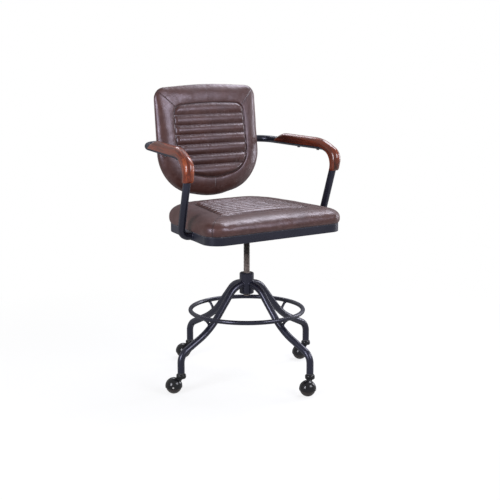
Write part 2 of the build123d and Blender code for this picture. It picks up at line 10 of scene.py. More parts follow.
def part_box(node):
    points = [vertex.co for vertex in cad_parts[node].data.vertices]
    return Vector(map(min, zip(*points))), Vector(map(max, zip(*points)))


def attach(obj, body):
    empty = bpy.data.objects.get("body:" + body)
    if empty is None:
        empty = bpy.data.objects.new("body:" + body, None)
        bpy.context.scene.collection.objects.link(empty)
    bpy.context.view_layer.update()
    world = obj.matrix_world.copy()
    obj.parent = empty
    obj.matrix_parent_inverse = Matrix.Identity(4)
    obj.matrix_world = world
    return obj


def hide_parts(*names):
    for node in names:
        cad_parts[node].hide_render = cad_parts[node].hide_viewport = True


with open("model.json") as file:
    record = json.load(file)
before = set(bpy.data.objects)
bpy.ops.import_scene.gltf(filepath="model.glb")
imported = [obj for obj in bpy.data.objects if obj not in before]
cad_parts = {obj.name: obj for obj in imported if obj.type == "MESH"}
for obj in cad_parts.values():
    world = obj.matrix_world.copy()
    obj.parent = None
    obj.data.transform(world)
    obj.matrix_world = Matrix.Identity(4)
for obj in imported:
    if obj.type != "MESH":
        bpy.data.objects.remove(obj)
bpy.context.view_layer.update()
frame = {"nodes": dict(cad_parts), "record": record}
nodes = frame["nodes"]
scene = bpy.context.scene

# Lengths below are the part's own, in millimetres; meshes are in metres.
MM = 0.001
FAR = 99.0  # stands for no seam near
FOOT_RINGS = 4  # rings of a pad below its widest line
LIP_WIDTH = 9  # part of the border that turns down to the seam
# The lip's rings: how far each lies before the seam, and its share of the drop to it
LIP_STEPS = ((5.5, 0.02), (3.2, 0.15), (1.6, 0.45), (0.6, 0.82), (0, 1))
PUCKER_REACH = 14  # from a groove, for the puckers that it draws
DENT_REACH = 20  # from the seam, for the border's full dents
CLOTH_STEPS = 20
ON_GROOVE = 1e-6  # a point this near a groove lies in it
GLOSS_ENDS = (0.4, 0.8)  # how far a surface turns away where its gloss starts to go, and where it has gone
MATT_ROUGH = 0.85
PLY_PAIR = 0.003  # thickness of two plies, in metres
frame_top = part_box("seat_frame")[1][2] / MM
hub_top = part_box("hub_sleeve")[1][2] / MM
spindle_bottom, spindle_top = (corner[2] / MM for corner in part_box("spindle"))
ring_z = (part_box("foot_ring")[0][2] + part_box("foot_ring")[1][2]) / 2 / MM


# Meshes

def unit(vector):
    return vector / np.linalg.norm(vector)


def new_piece(name, points, faces, body, material):
    """A mesh piece in the row frame that rides on a body. Points are in millimetres."""
    mesh = bpy.data.meshes.new(name)
    mesh.from_pydata([Vector(p) * MM for p in points], [], faces)
    mesh.validate()
    mesh.polygons.foreach_set("use_smooth", [True] * len(mesh.polygons))
    piece = bpy.data.objects.new(name, mesh)
    scene.collection.objects.link(piece)
    piece.data.materials.append(material)
    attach(piece, body)
    return piece


def add_attribute(mesh, name, values):
    """A vector for each point of the mesh, which a material can read."""
    made = mesh.attributes.new(name, "FLOAT_VECTOR", "POINT")
    made.data.foreach_set("vector", np.asarray(values, np.float32).ravel())


def coordinates(mesh):
    flat = np.zeros(len(mesh.vertices) * 3, np.float32)
    mesh.vertices.foreach_get("co", flat)
    return flat.reshape(-1, 3).astype(float)


def ring_faces(first, second, count):
    """Quads between two closed rings of points, given by their first indices."""
    return [
        (first + i, first + (i + 1) % count, second + (i + 1) % count, second + i) for i in range(count)
    ]


class Outline:
    """A rounded outline and its insets, each with the same number of points, counter-clockwise."""

    def __init__(self, corners, radii, least, spacing):
        self.corners = [np.array(corner, float) for corner in corners]
        self.radii = radii
        self.least = least
        self.count = len(corners)
        self.runs = [unit(self.corners[(i + 1) % self.count] - self.corners[i]) for i in range(self.count)]
        self.turns = [
            float(np.arccos(np.clip(self.runs[i - 1] @ self.runs[i], -1, 1))) for i in range(self.count)
        ]
        self.arc_steps = [
            2 * max(3, round(radius * turn / spacing / 2)) for radius, turn in zip(radii, self.turns)
        ]
        self.run_steps = []
        for i in range(self.count):
            following = (i + 1) % self.count
            length = np.linalg.norm(self.arc(following, 0)[0] - self.arc_end(i, 0))
            self.run_steps.append(max(2, round(length / spacing)))

    def arc(self, index, inset):
        """Start, centre and radius of a corner's arc."""
        before, after = self.runs[index - 1], self.runs[index]
        inward = unit(after - before)
        corner = self.corners[index] + inward * inset / cos(self.turns[index] / 2)
        radius = max(self.radii[index] - inset, self.least)
        start = corner - before * radius * tan(self.turns[index] / 2)
        return start, start + np.array((-before[1], before[0])) * radius, radius

    def arc_point(self, index, inset, share):
        start, centre, _ = self.arc(index, inset)
        angle = self.turns[index] * share
        x, y = start - centre
        return centre + np.array((x * cos(angle) - y * sin(angle), x * sin(angle) + y * cos(angle)))

    def arc_end(self, index, inset):
        return self.arc_point(index, inset, 1)

    def ring(self, inset):
        points = []
        for i in range(self.count):
            steps = self.arc_steps[i]
            points += [self.arc_point(i, inset, k / steps) for k in range(steps + 1)]
            end = self.arc_end(i, inset)
            following = self.arc((i + 1) % self.count, inset)[0]
            points += [end + (following - end) * k / self.run_steps[i] for k in range(1, self.run_steps[i])]
        return np.array(points)

    def middles(self):
        """Index in a ring of each corner's middle."""
        found, first = [], 0
        for i in range(self.count):
            found.append(first + self.arc_steps[i] // 2)
            first += self.arc_steps[i] + self.run_steps[i]
        return found


def circle_turns(count):
    """Angles of evenly spaced points on a circle."""
    return [2 * pi * k / count for k in range(count)]


def along_ring(points, marks):
    """Signed distance of each point of a closed ring, along it, from the nearest marked point."""
    steps = np.linalg.norm(np.roll(points, -1, 0) - points, axis=1)
    total = steps.sum()
    place = np.concatenate(([0], np.cumsum(steps)[:-1]))
    gaps = (place[:, None] - place[marks][None, :] + total / 2) % total - total / 2
    return gaps[np.arange(len(points)), np.abs(gaps).argmin(1)]


def ring_distance(points, ring):
    """Distance of points from a closed ring, negative outside."""
    ends = np.roll(ring, -1, 0)
    runs = ends - ring
    offset = points[:, None, :] - ring[None, :, :]
    share = np.clip((offset * runs).sum(2) / (runs * runs).sum(1), 0, 1)
    nearest = np.linalg.norm(offset - share[:, :, None] * runs, axis=2).min(1)
    crosses = (ring[None, :, 1] > points[:, None, 1]) != (ends[None, :, 1] > points[:, None, 1])
    rise = np.where(np.abs(runs[:, 1]) < 1e-9, 1e-9, runs[:, 1])
    at = ring[None, :, 0] + (points[:, None, 1] - ring[None, :, 1]) * (runs[:, 0] / rise)
    inside = (crosses & (points[:, None, 0] < at)).sum(1) % 2 == 1
    return np.where(inside, nearest, -nearest)


def filled(ring, inner):
    """Triangles that fill a closed ring, through given inner points. Points come back as ring then inner."""
    points = [Vector(p) for p in ring] + [Vector(p) for p in inner]
    edges = [(i, (i + 1) % len(ring)) for i in range(len(ring))]
    _, _, faces, origin, _, _ = delaunay_2d_cdt(points, edges, [], 1, 1e-6)
    return [tuple(origin[i][0] for i in face) for face in faces]


def tilted_place(origin, along, normal, tilt):
    """A map from a pad's own x, y and depth to the row frame; its levels tilt with their depth."""
    origin, along, normal = (np.array(v, float) for v in (origin, along, normal))

    def place(points, depths):
        turn = np.radians(tilt * depths)[:, None]
        level = np.cos(turn) * along + np.sin(turn) * normal
        across = np.array((1.0, 0.0, 0.0))
        return origin + depths[:, None] * normal + points[:, :1] * across + points[:, 1:2] * level

    return place


def inflate(piece, pinned, pressure, cap):
    """Blow a piece up between its pinned points by a cloth simulation; no point moves further than cap."""
    rest = coordinates(piece.data)
    group = piece.vertex_groups.new(name="pinned")
    group.add([int(i) for i in pinned], 1.0, "REPLACE")
    cloth = piece.modifiers.new("Cloth", "CLOTH")
    cloth.settings.vertex_group_mass = "pinned"
    cloth.settings.use_pressure = True
    cloth.settings.uniform_pressure_force = pressure
    cloth.settings.effector_weights.gravity = 0
    for step in range(CLOTH_STEPS):
        scene.frame_set(step + 1)
    evaluated = piece.evaluated_get(bpy.context.evaluated_depsgraph_get())
    shift = coordinates(evaluated.data) - rest
    piece.modifiers.remove(cloth)
    piece.vertex_groups.remove(group)
    scene.frame_set(1)
    length = np.linalg.norm(shift, axis=1, keepdims=True)
    shift *= np.minimum(1, cap * MM / np.maximum(length, 1e-9))
    piece.data.vertices.foreach_set("co", (rest + shift).astype(np.float32).ravel())
    piece.data.update()


def subdivide(piece):
    """One subdivision, applied."""
    modifier = piece.modifiers.new("Subdivision", "SUBSURF")
    modifier.levels = 1
    modifier.render_levels = 1
    evaluated = piece.evaluated_get(bpy.context.evaluated_depsgraph_get())
    mesh = bpy.data.meshes.new_from_object(evaluated)
    piece.modifiers.clear()
    old = piece.data
    piece.data = mesh
    bpy.data.meshes.remove(old)
    mesh.name = piece.name


def push(piece, distances):
    """Move each point along its normal, in millimetres."""
    normals = np.zeros(len(piece.data.vertices) * 3, np.float32)
    piece.data.vertices.foreach_get("normal", normals)
    moved = coordinates(piece.data) + normals.reshape(-1, 3) * (np.asarray(distances) * MM)[:, None]
    piece.data.vertices.foreach_set("co", moved.astype(np.float32).ravel())
    piece.data.update()


def tube(name, path, radii, body, material, sides=10):
    """A closed bead along a closed path, with a radius at each point."""
    path = np.asarray(path, float)
    count = len(path)
    tangents = np.array([unit(path[(i + 1) % count] - path[i - 1]) for i in range(count)])
    middle = path.mean(0)
    points, faces = [], []
    for i in range(count):
        out = path[i] - middle
        out = unit(out - tangents[i] * (out @ tangents[i]))
        side = np.cross(tangents[i], out)
        for turn in circle_turns(sides):
            points.append(path[i] + (out * cos(turn) + side * sin(turn)) * radii[i])
    for i in range(count):
        faces += ring_faces(i * sides, (i + 1) % count * sides, sides)
    return new_piece(name, points, faces, body, material)


# Materials

def new_material(name, **constants):
    """A Principled material; a number or colour that is the same all over sits on the shader's own socket."""
    material = bpy.data.materials.new(name)
    material.use_nodes = True
    shader = material.node_tree.nodes["Principled BSDF"]
    for socket, value in constants.items():
        shader.inputs[socket.replace("_", " ")].default_value = value
    return material, material.node_tree, shader


def add_node(tree, kind, inputs=None, **settings):
    made = tree.nodes.new("ShaderNode" + kind)
    for key, value in settings.items():
        setattr(made, key, value)
    for socket, value in (inputs or {}).items():
        if isinstance(value, bpy.types.NodeSocket):
            tree.links.new(value, made.inputs[socket])
        else:
            made.inputs[socket].default_value = value
    return made


def object_place(tree):
    return add_node(tree, "TexCoord").outputs["Object"]


def stretched(tree, vector, scale):
    return add_node(tree, "Mapping", {"Vector": vector, "Scale": scale}).outputs["Vector"]


def noise_of(tree, vector, scale, detail=3.0, rough=0.5, distortion=0.0):
    settings = {
        "Vector": vector,
        "Scale": scale,
        "Detail": detail,
        "Roughness": rough,
        "Distortion": distortion,
    }
    return add_node(tree, "TexNoise", settings).outputs["Fac"]


def cells_of(tree, vector, scale, feature="F1"):
    made = add_node(tree, "TexVoronoi", {"Vector": vector, "Scale": scale}, feature=feature)
    return made.outputs["Distance"]


def math(tree, operation, a, b=0.0):
    return add_node(tree, "Math", {0: a, 1: b}, operation=operation).outputs[0]


def mapped(tree, value, low, high, to_low=0.0, to_high=1.0):
    settings = {"Value": value, "From Min": low, "From Max": high, "To Min": to_low, "To Max": to_high}
    return add_node(tree, "MapRange", settings).outputs["Result"]


def mixed(tree, factor, a, b, blend="MIX"):
    made = add_node(tree, "Mix", {0: factor, 6: a, 7: b}, data_type="RGBA", blend_type=blend)
    return made.outputs[2]


def ramp(tree, value, stops):
    made = add_node(tree, "ValToRGB", {"Fac": value})
    elements = made.color_ramp.elements
    while len(elements) < len(stops):
        elements.new(0.5)
    for element, (place, colour) in zip(elements, stops):
        element.position = place
        element.color = (*colour, 1)
    return made.outputs["Color"]


def bump(tree, height, distance, strength=1.0, under=None):
    settings = {"Height": height, "Distance": distance, "Strength": strength}
    if under is not None:
        settings["Normal"] = under
    return add_node(tree, "Bump", settings).outputs["Normal"]


def join(tree, shader, **outputs):
    for socket, value in outputs.items():
        tree.links.new(value, shader.inputs[socket.replace("_", " ")])


def matt_edge(tree, rough):
    """Less gloss where the surface is seen along its own plane, as worn or brushed finishes have."""
    facing = add_node(tree, "LayerWeight", {"Blend": 0.5}).outputs["Facing"]
    share = mapped(tree, facing, *GLOSS_ENDS)
    kept = math(tree, "MULTIPLY", rough, mapped(tree, facing, *GLOSS_ENDS, 1, 0))
    return math(tree, "ADD", kept, math(tree, "MULTIPLY", share, MATT_ROUGH))


def leather_material(name, sewn):
    """Pull-up brown leather; a sewn one reads its distance to seams, mitres and grooves from its mesh."""
    material, tree, shader = new_material(
        name,
        Specular_IOR_Level=0.3,
        Specular_Tint=(0.94, 0.86, 1.0, 1),
        Sheen_Weight=0.02,
        Sheen_Roughness=0.4,
    )
    place = object_place(tree)
    clouds = noise_of(tree, place, 13, 3, 0.55)
    mottle = noise_of(tree, place, 55, 5, 0.62, 0.4)
    colour = ramp(tree, clouds, ((0.3, (0.0225, 0.0080, 0.0056)), (0.7, (0.0400, 0.0165, 0.0128))))
    light = mapped(tree, mottle, 0.52, 0.8, 0, 0.6)
    colour = mixed(tree, light, colour, (0.062, 0.033, 0.028, 1))
    cloud_rough = mapped(tree, clouds, 0.3, 0.7, 0.39, 0.29)
    rough = math(tree, "ADD", cloud_rough, mapped(tree, mottle, 0.3, 0.7, -0.05, 0.07))
    pores = cells_of(tree, place, 620)
    folds = cells_of(tree, place, 190, "DISTANCE_TO_EDGE")
    grain = math(tree, "ADD", pores, math(tree, "MULTIPLY", mapped(tree, folds, 0, 0.12), 0.6))
    normal = bump(tree, grain, 0.0003, 0.1)
    normal = bump(tree, noise_of(tree, place, 38, 2, 0.5, 0.6), 0.0018, 0.42, normal)
    if sewn:
        sewing = add_node(tree, "Attribute", attribute_name="sewn")
        marks = add_node(tree, "SeparateXYZ", {0: sewing.outputs["Vector"]})
        seam = math(tree, "ABSOLUTE", marks.outputs["X"])
        mitre = math(tree, "ABSOLUTE", marks.outputs["Y"])
        groove = marks.outputs["Z"]
        nearest = math(tree, "MINIMUM", seam, mitre)
        line = mapped(tree, nearest, 0.2, 0.9, 0.7, 0)
        # painted shade: the leather darkens within a few millimetres of seams, mitres and grooves, where
        # shade falls in the creases
        painted_groove_shade = mapped(tree, math(tree, "MINIMUM", nearest, groove), 0.5, 5, 0.55, 0)
        colour = mixed(tree, painted_groove_shade, colour, (0.018, 0.0075, 0.006, 1))
        colour = mixed(tree, line, colour, (0.006, 0.003, 0.003, 1))
        normal = bump(tree, mapped(tree, mitre, 0, 2.4), 0.0012, 0.6, normal)
    join(tree, shader, Base_Color=colour, Roughness=matt_edge(tree, rough), Normal=normal)
    return material


def wood_material():
    """Glossy mahogany whose grain follows the bend of the arm."""
    material, tree, shader = new_material(
        "mahogany", Specular_IOR_Level=0.16, Coat_Weight=0.25, Coat_Roughness=0.07
    )
    grain = add_node(tree, "Attribute", attribute_name="grain").outputs["Vector"]
    streaks = noise_of(tree, stretched(tree, grain, (7, 95, 95)), 1, 6, 0.62, 0.9)
    bands = noise_of(tree, stretched(tree, grain, (5, 30, 30)), 1, 3, 0.5, 0.6)
    fibres = noise_of(tree, stretched(tree, grain, (24, 620, 620)), 1, 3, 0.6)
    figure = math(tree, "ADD", math(tree, "MULTIPLY", streaks, 0.58), math(tree, "MULTIPLY", bands, 0.42))
    colour = ramp(
        tree,
        figure,
        (
            (0.34, (0.0100, 0.0025, 0.0016)),
            (0.44, (0.0430, 0.0073, 0.0031)),
            (0.54, (0.0900, 0.0150, 0.0050)),
            (0.66, (0.1780, 0.0370, 0.0092)),
        ),
    )
    colour = mixed(tree, mapped(tree, fibres, 0.55, 0.72, 0, 0.5), colour, (0.02, 0.0055, 0.0035, 1))
    rough = mapped(tree, streaks, 0.3, 0.7, 0.2, 0.32)
    normal = bump(tree, fibres, 0.0003, 0.2)
    join(tree, shader, Base_Color=colour, Roughness=matt_edge(tree, rough), Normal=normal)
    return material


def paint_material(name, worn_from=None, worn_to=None):
    """Satin blue-black paint; a worn one is rubbed to bare metal between two heights."""
    material, tree, shader = new_material(name, Specular_IOR_Level=0.28, Specular_Tint=(0.80, 0.8, 1.0, 1))
    place = object_place(tree)
    drift = noise_of(tree, place, 9, 3)
    colour = ramp(tree, drift, ((0.3, (0.0038, 0.0039, 0.0068)), (0.7, (0.0075, 0.0078, 0.0130))))
    rough = mapped(tree, noise_of(tree, place, 24, 4), 0.3, 0.7, 0.22, 0.28)
    if worn_from is not None:
        height = add_node(tree, "SeparateXYZ", {0: place}).outputs["Z"]
        edge = mapped(tree, height, worn_from, worn_to)
        specks = mapped(tree, noise_of(tree, place, 95, 5, 0.7), 0.56, 0.7)
        worn = math(tree, "MULTIPLY", edge, math(tree, "ADD", math(tree, "MULTIPLY", specks, 0.75), 0.12))
        colour = mixed(tree, worn, colour, (0.16, 0.15, 0.16, 1))
    normal = bump(tree, noise_of(tree, place, 30, 2), 0.0005, 0.05)
    join(tree, shader, Base_Color=colour, Roughness=matt_edge(tree, rough), Normal=normal)
    return material


def metal_material(name, dark, light, rough_low, rough_high, scale):
    """Bare metal with stains and a fine brushed bump."""
    material, tree, shader = new_material(name, Metallic=0.92)
    place = object_place(tree)
    stain = noise_of(tree, place, scale, 5, 0.62, 0.5)
    colour = ramp(tree, stain, ((0.32, dark), (0.7, light)))
    rough = mapped(tree, stain, 0.3, 0.7, rough_high, rough_low)
    normal = bump(tree, noise_of(tree, stretched(tree, place, (1, 1, 6)), 420, 3), 0.0002, 0.2)
    join(tree, shader, Base_Color=colour, Roughness=matt_edge(tree, rough), Normal=normal)
    return material


def thread_material():
    """Oiled screw: bronzed crests, painted shade in the grooves, and painted shade blackening it towards the
    seat.
    """
    material, tree, shader = new_material("oiled_thread", Metallic=0.5, Specular_IOR_Level=0.2)
    place = object_place(tree)
    thread = add_node(tree, "Attribute", attribute_name="thread")
    groove = add_node(tree, "SeparateXYZ", {0: thread.outputs["Vector"]})
    stain = noise_of(tree, place, 60, 4, 0.6, 0.4)
    colour = ramp(tree, stain, ((0.3, (0.085, 0.068, 0.060)), (0.7, (0.20, 0.165, 0.148))))
    # painted shade: the screw goes near black towards the seat above it, as in the seat's shadow, broken up
    # by the stains
    painted_seat_shade = math(tree, "ADD", groove.outputs["Y"], mapped(tree, stain, 0.3, 0.7, -0.25, 0.25))
    colour = mixed(tree, mapped(tree, painted_seat_shade, 0.2, 0.55, 0, 0.95), colour, (0.012, 0.011, 0.011, 1))
    # painted shade: the thread's grooves are darkened by how deep they lie
    depth = mapped(tree, groove.outputs["X"], 0.2, 0.9, 0, 0.92)
    colour = mixed(tree, depth, colour, (0.012, 0.010, 0.009, 1))
    rough = mapped(tree, stain, 0.3, 0.7, 0.5, 0.34)
    normal = bump(tree, stain, 0.0002, 0.2)
    join(tree, shader, Base_Color=colour, Roughness=matt_edge(tree, rough), Normal=normal)
    return material


def plastic_material(name, dark, light, rough_low, rough_high, specular):
    """Moulded plastic with a faint mould texture, dust and scuffs."""
    material, tree, shader = new_material(name, Specular_IOR_Level=specular)
    place = object_place(tree)
    scuff = noise_of(tree, place, 130, 5, 0.66, 0.8)
    colour = ramp(tree, scuff, ((0.35, dark), (0.75, light)))
    rough = mapped(tree, scuff, 0.35, 0.75, rough_low, rough_high)
    normal = bump(tree, noise_of(tree, place, 700, 2), 0.0001, 0.12)
    join(tree, shader, Base_Color=colour, Roughness=matt_edge(tree, rough), Normal=normal)
    return material


def plywood_material():
    """Birch plywood: long figure on its faces, thin plies on its edge."""
    material, tree, shader = new_material("plywood", Specular_IOR_Level=0.35)
    place = object_place(tree)
    figure = noise_of(tree, stretched(tree, place, (4, 60, 60)), 1, 5, 0.6, 1.2)
    colour = ramp(tree, figure, ((0.3, (0.32, 0.19, 0.095)), (0.7, (0.52, 0.36, 0.21))))
    height = add_node(tree, "SeparateXYZ", {0: place}).outputs["Z"]
    plies = math(tree, "SINE", math(tree, "MULTIPLY", height, 2 * pi / PLY_PAIR))
    colour = mixed(tree, mapped(tree, plies, 0.2, 0.9, 0, 0.35), colour, (0.2, 0.11, 0.05, 1))
    rough = mapped(tree, figure, 0.3, 0.7, 0.55, 0.7)
    normal = bump(tree, figure, 0.0004, 0.3)
    join(tree, shader, Base_Color=colour, Roughness=matt_edge(tree, rough), Normal=normal)
    return material


sewn_leather = leather_material("sewn_leather", True)
plain_leather = leather_material("plain_leather", False)
mahogany = wood_material()
paint = paint_material("black_paint")
worn_band = 0.0035  # metres of the seat frame's upper edge that the cushion rubs
frame_paint = paint_material("worn_black_paint", frame_top * MM - worn_band, frame_top * MM)
spindle_steel = thread_material()
bare_steel = metal_material("bare_steel", (0.30, 0.29, 0.28), (0.52, 0.51, 0.5), 0.25, 0.42, 60)
black_metal = metal_material("black_fasteners", (0.012, 0.012, 0.013), (0.06, 0.06, 0.062), 0.35, 0.55, 160)
nylon = plastic_material("black_nylon", (0.010, 0.010, 0.011), (0.03, 0.03, 0.031), 0.4, 0.6, 0.4)
caster_gloss = plastic_material(
    "caster_gloss", (0.0045, 0.0045, 0.0055), (0.008, 0.0075, 0.008), 0.10, 0.18, 0.18
)
caster_tread = plastic_material(
    "caster_tread", (0.010, 0.0075, 0.0068), (0.020, 0.014, 0.012), 0.14, 0.26, 0.24
)
plywood = plywood_material()

slot_materials = {
    "black_paint": paint,
    "bare_steel": bare_steel,
    "black_fasteners": black_metal,
    "black_nylon": nylon,
    "leather": plain_leather,
    "plywood": plywood,
    "mahogany": mahogany,
    "caster_black": caster_gloss,
    "caster_tread": caster_tread,
    "caster_steel": bare_steel,
}
for subpart in frame["record"]["subparts"]:
    chosen = slot_materials.get(subpart["material_slot"], paint)
    if subpart["node"] == "seat_frame":
        chosen = frame_paint
    for material_slot in nodes[subpart["node"]].material_slots:
        material_slot.link = "OBJECT"
        material_slot.material = chosen


# Pads

def pad(name, place, outline, profile, cavity, panel, marks, nodes_replaced):
    """A sewn cushion: rings from its foot over the border to the panel's seam, then the panel's rolls."""
    insets = cavity[::-1] + profile
    rings = [outline.ring(inset) for _, inset in insets]
    count = len(rings[0])
    seam_ring, seam_depth = rings[-1], profile[-1][0]
    low, high = seam_ring[:, 1].min(), seam_ring[:, 1].max()
    half_width = np.abs(seam_ring[:, 0]).max()
    edges = low + (high - low) * np.cumsum((0,) + panel["rolls"]) / sum(panel["rolls"])
    steps = np.arange(1, panel["rows"] * len(panel["rolls"])) / panel["rows"]
    rows = np.interp(steps, np.arange(len(edges)), edges)
    columns = np.arange(-half_width, half_width, panel["column"]) + panel["column"] / 2
    grid = np.array([(x, y) for y in rows for x in columns])
    grid = grid[ring_distance(grid, seam_ring) > panel["clear"]]

    edge = ring_distance(grid, seam_ring)
    phase = np.interp(grid[:, 1], edges, np.arange(len(edges))) % 1
    groove = np.abs(grid[:, 1:2] - edges[None, 1:-1]).min(1)
    middle, half_length = (low + high) / 2, (high - low) / 2
    crest = panel["crest"] - panel["along"] * ((grid[:, 1] - middle) / half_length) ** 2
    crest = crest - panel["across"] * (grid[:, 0] / half_width) ** 2
    roll = crest - panel["rise"] * np.where(groove < ON_GROOVE, 1, (2 * phase - 1) ** 2)
    blend = 1 - (1 - np.clip(edge / panel["edge"], 0, 1)) ** 2
    grid_depth = seam_depth + blend * (roll - seam_depth)

    points = np.vstack(rings + [grid])
    depth = np.concatenate([np.full(count, level) for level, _ in insets] + [grid_depth])
    seam_first = (len(rings) - 1) * count
    faces = [tuple(range(count - 1, -1, -1))]
    for index in range(len(rings) - 1):
        faces += ring_faces(index * count, (index + 1) * count, count)
    faces += [tuple(seam_first + i for i in face) for face in filled(seam_ring, grid)]
    piece = new_piece(name, place(points, depth), faces, "seat", sewn_leather)

    hidden = np.full(count * len(cavity), FAR)
    shown = rings[len(cavity):]
    seam_gaps = [np.linalg.norm(ring - seam_ring, axis=1) for ring in shown]
    from_seam = np.concatenate([hidden] + seam_gaps + [-edge])
    from_mitre = [mitre_distance(ring, seam_ring, marks) for ring in shown]
    mitre = np.concatenate([hidden] + from_mitre + [np.full(len(grid), FAR)])
    grooves = np.concatenate([np.full(count * len(rings), FAR), groove])
    add_attribute(piece.data, "sewn", np.stack([from_seam, mitre, grooves], axis=1))

    pinned = list(range(count * (len(cavity) + FOOT_RINGS + 1)))
    pinned += range(count * (len(rings) - 3), count * len(rings))
    pinned += [count * len(rings) + i for i in np.flatnonzero(groove < ON_GROOVE)]
    inflate(piece, pinned, panel["pressure"], panel["cap"])
    subdivide(piece)
    wrinkle(piece, panel)
    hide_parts(*nodes_replaced)


def mitre_distance(ring, seam_ring, marks):
    """Distance along a ring from the border's mitres, each sewn only so far out from the panel's seam."""
    near = [mark for mark, length in marks if np.linalg.norm(ring[mark] - seam_ring[mark]) < length]
    return along_ring(ring, near) if near else np.full(len(ring), FAR)


def wrinkle(piece, panel):
    """Soft dents on the border and puckers that run across the grooves."""
    marks = np.zeros(len(piece.data.vertices) * 3, np.float32)
    piece.data.attributes["sewn"].data.foreach_get("vector", marks)
    seam, _, groove = marks.reshape(-1, 3).T
    distances = np.zeros(len(seam))
    scale = Vector(panel["pucker_scale"])
    for i, spot in enumerate(coordinates(piece.data)):
        spot = Vector(spot)
        if seam[i] < 0:
            near = max(0.0, 1 - groove[i] / PUCKER_REACH)
            distances[i] = noise.noise(spot * scale) * panel["pucker"] * (0.4 + 0.6 * near)
        elif seam[i] < FAR:
            dent = noise.noise(spot * 22) * 0.8 + noise.noise(spot * 60) * 0.35
            distances[i] = dent * min(1, 0.3 + seam[i] / DENT_REACH)
    push(piece, distances)


def border_profile(height, belly, draw_in, bulge, seam_inset, seam_depth, steps, roundness):
    """Depth and inset of each ring: drawn-in foot, widest line, round border, lip at the panel's seam."""
    rings = []
    for index in range(FOOT_RINGS):
        turn = pi / 2 * (1 - index / FOOT_RINGS)
        rings.append((belly * (1 - sin(turn)), -bulge + (draw_in + bulge) * (1 - cos(turn))))
    last = acos((LIP_WIDTH / (seam_inset + bulge)) ** (1 / roundness))
    for index in range(steps + 1):
        turn = last * index / steps
        inset = -bulge + (seam_inset + bulge) * (1 - cos(turn) ** roundness)
        rings.append((belly + (height - belly) * sin(turn) ** roundness, inset))
    top = rings[-1][0]
    for before, drop in LIP_STEPS:
        rings.append((top - (top - seam_depth) * drop, seam_inset - before))
    return rings


seat_corners = ((-284, -199), (284, -199), (207.5, 216), (-207.5, 216))
seat_outline = Outline(seat_corners, (52, 52, 120, 120), 14, 9)
pad(
    "seat_cushion",
    tilted_place((0, 0, frame_top), (0, 1, 0), (0, 0, 1), 2 / 60),
    seat_outline,
    border_profile(59, 18, 1, 6, 85, 55.5, 11, 0.8),
    [(0.4, 4)],
    {
        "rolls": (0.45,) + (1,) * 10,
        "rows": 6,
        "column": 6,
        "clear": 2.5,
        "crest": 69,
        "along": 3,
        "across": 6,
        "rise": 6,
        "edge": 12,
        "pressure": 4,
        "cap": 4,
        "pucker": 0.8,
        "pucker_scale": (75, 60, 60),
    },
    [(mark, FAR * 9) for mark in seat_outline.middles()],
    ("seat_cover", "seat_foam"),
)

back_height = 31
rear_lean, face_lean = 5.1, 8.8  # degrees
lean = radians(rear_lean)
back_origin = (0, 241.07, frame_top + 263.6)
back_up = (0, sin(lean), cos(lean))
back_out = (0, -cos(lean), sin(lean))
back_corners = ((0, 206), (-213, 194), (-213, -155.5), (0, -198.6), (213, -155.5), (213, 194))
back_radii = (1500, 42, 154, 250, 154, 42)
back_outline = Outline(back_corners, back_radii, 32, 9)
back_middles = back_outline.middles()
back_place = tilted_place(back_origin, back_up, back_out, (rear_lean - face_lean) / back_height)
pad(
    "back_cushion",
    back_place,
    back_outline,
    border_profile(back_height, 5, 4, 0, 66, 26, 10, 1.0),
    [(0.3, 6.8), (9.3, 6.8)],
    {
        "rolls": (46, 36, 37, 35, 33, 36, 41),
        "rows": 8,
        "column": 6,
        "clear": 2.5,
        "crest": 37,
        "along": 0.5,
        "across": 1.5,
        "rise": 8.5,
        "edge": 10,
        "pressure": 4,
        "cap": 4,
        "pucker": 0.7,
        "pucker_scale": (125, 26, 26),
    },
    [(back_middles[1], FAR * 9), (back_middles[3], 36), (back_middles[5], FAR * 9)],
    ("back_cover", "back_foam"),
)


# Rear of the back

rear_profile = [(-0.2, 3.0), (-1.2, 2.6), (-2.3, 3.2), (-2.9, 5), (-3.0, 12)]
rear_rings = [back_outline.ring(inset) for _, inset in rear_profile]
ring_count = len(rear_rings[0])
rear_points = np.vstack(rear_rings)
rear_depths = np.repeat([depth for depth, _ in rear_profile], ring_count)
rear_faces = [tuple(range(ring_count))]
for ring_index in range(len(rear_profile) - 1):
    level = ring_index * ring_count
    rear_faces += [face[::-1] for face in ring_faces(level, level + ring_count, ring_count)]
rear_faces.append(tuple(range(len(rear_points) - 1, len(rear_points) - ring_count - 1, -1)))
rear_place = tilted_place(back_origin, back_up, back_out, 0)
rear_panel = new_piece(
    "back_rear_cover", rear_place(rear_points, rear_depths), rear_faces, "seat", plain_leather
)
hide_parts("back_rear_panel")

piping_inset, piping_depth, piping_r = 2.4, -0.4, 2.3
piping_ring = back_outline.ring(piping_inset)
piping_path = rear_place(piping_ring, np.full(ring_count, piping_depth))
tube("back_piping", piping_path, np.full(ring_count, piping_r), "seat", plain_leather)


# Armrests, bent over the tube, with their grain laid along the bend

def rounded_line(points, radii, steps):
    """Points along an open line with rounded corners."""
    points = [np.array(point, float) for point in points]
    line = [points[0]]
    for before, corner, after, radius in zip(points, points[1:], points[2:], radii):
        back, on = unit(before - corner), unit(after - corner)
        half = np.arccos(np.clip(back @ on, -1, 1)) / 2
        centre = corner + unit(back + on) * radius / sin(half)
        start, end = (corner + way * radius / tan(half) - centre for way in (back, on))
        line += [centre + unit(start + (end - start) * k / steps) * radius for k in range(steps + 1)]
    return np.array(line + [points[-1]])


def resampled(line, step):
    """Points along a line at even steps, and their distances along it."""
    lengths = np.concatenate(([0], np.cumsum(np.linalg.norm(np.diff(line, axis=0), axis=1))))
    places = np.linspace(0, lengths[-1], round(lengths[-1] / step) + 1)
    return np.stack([np.interp(places, lengths, line[:, k]) for k in range(line.shape[1])], axis=1), places


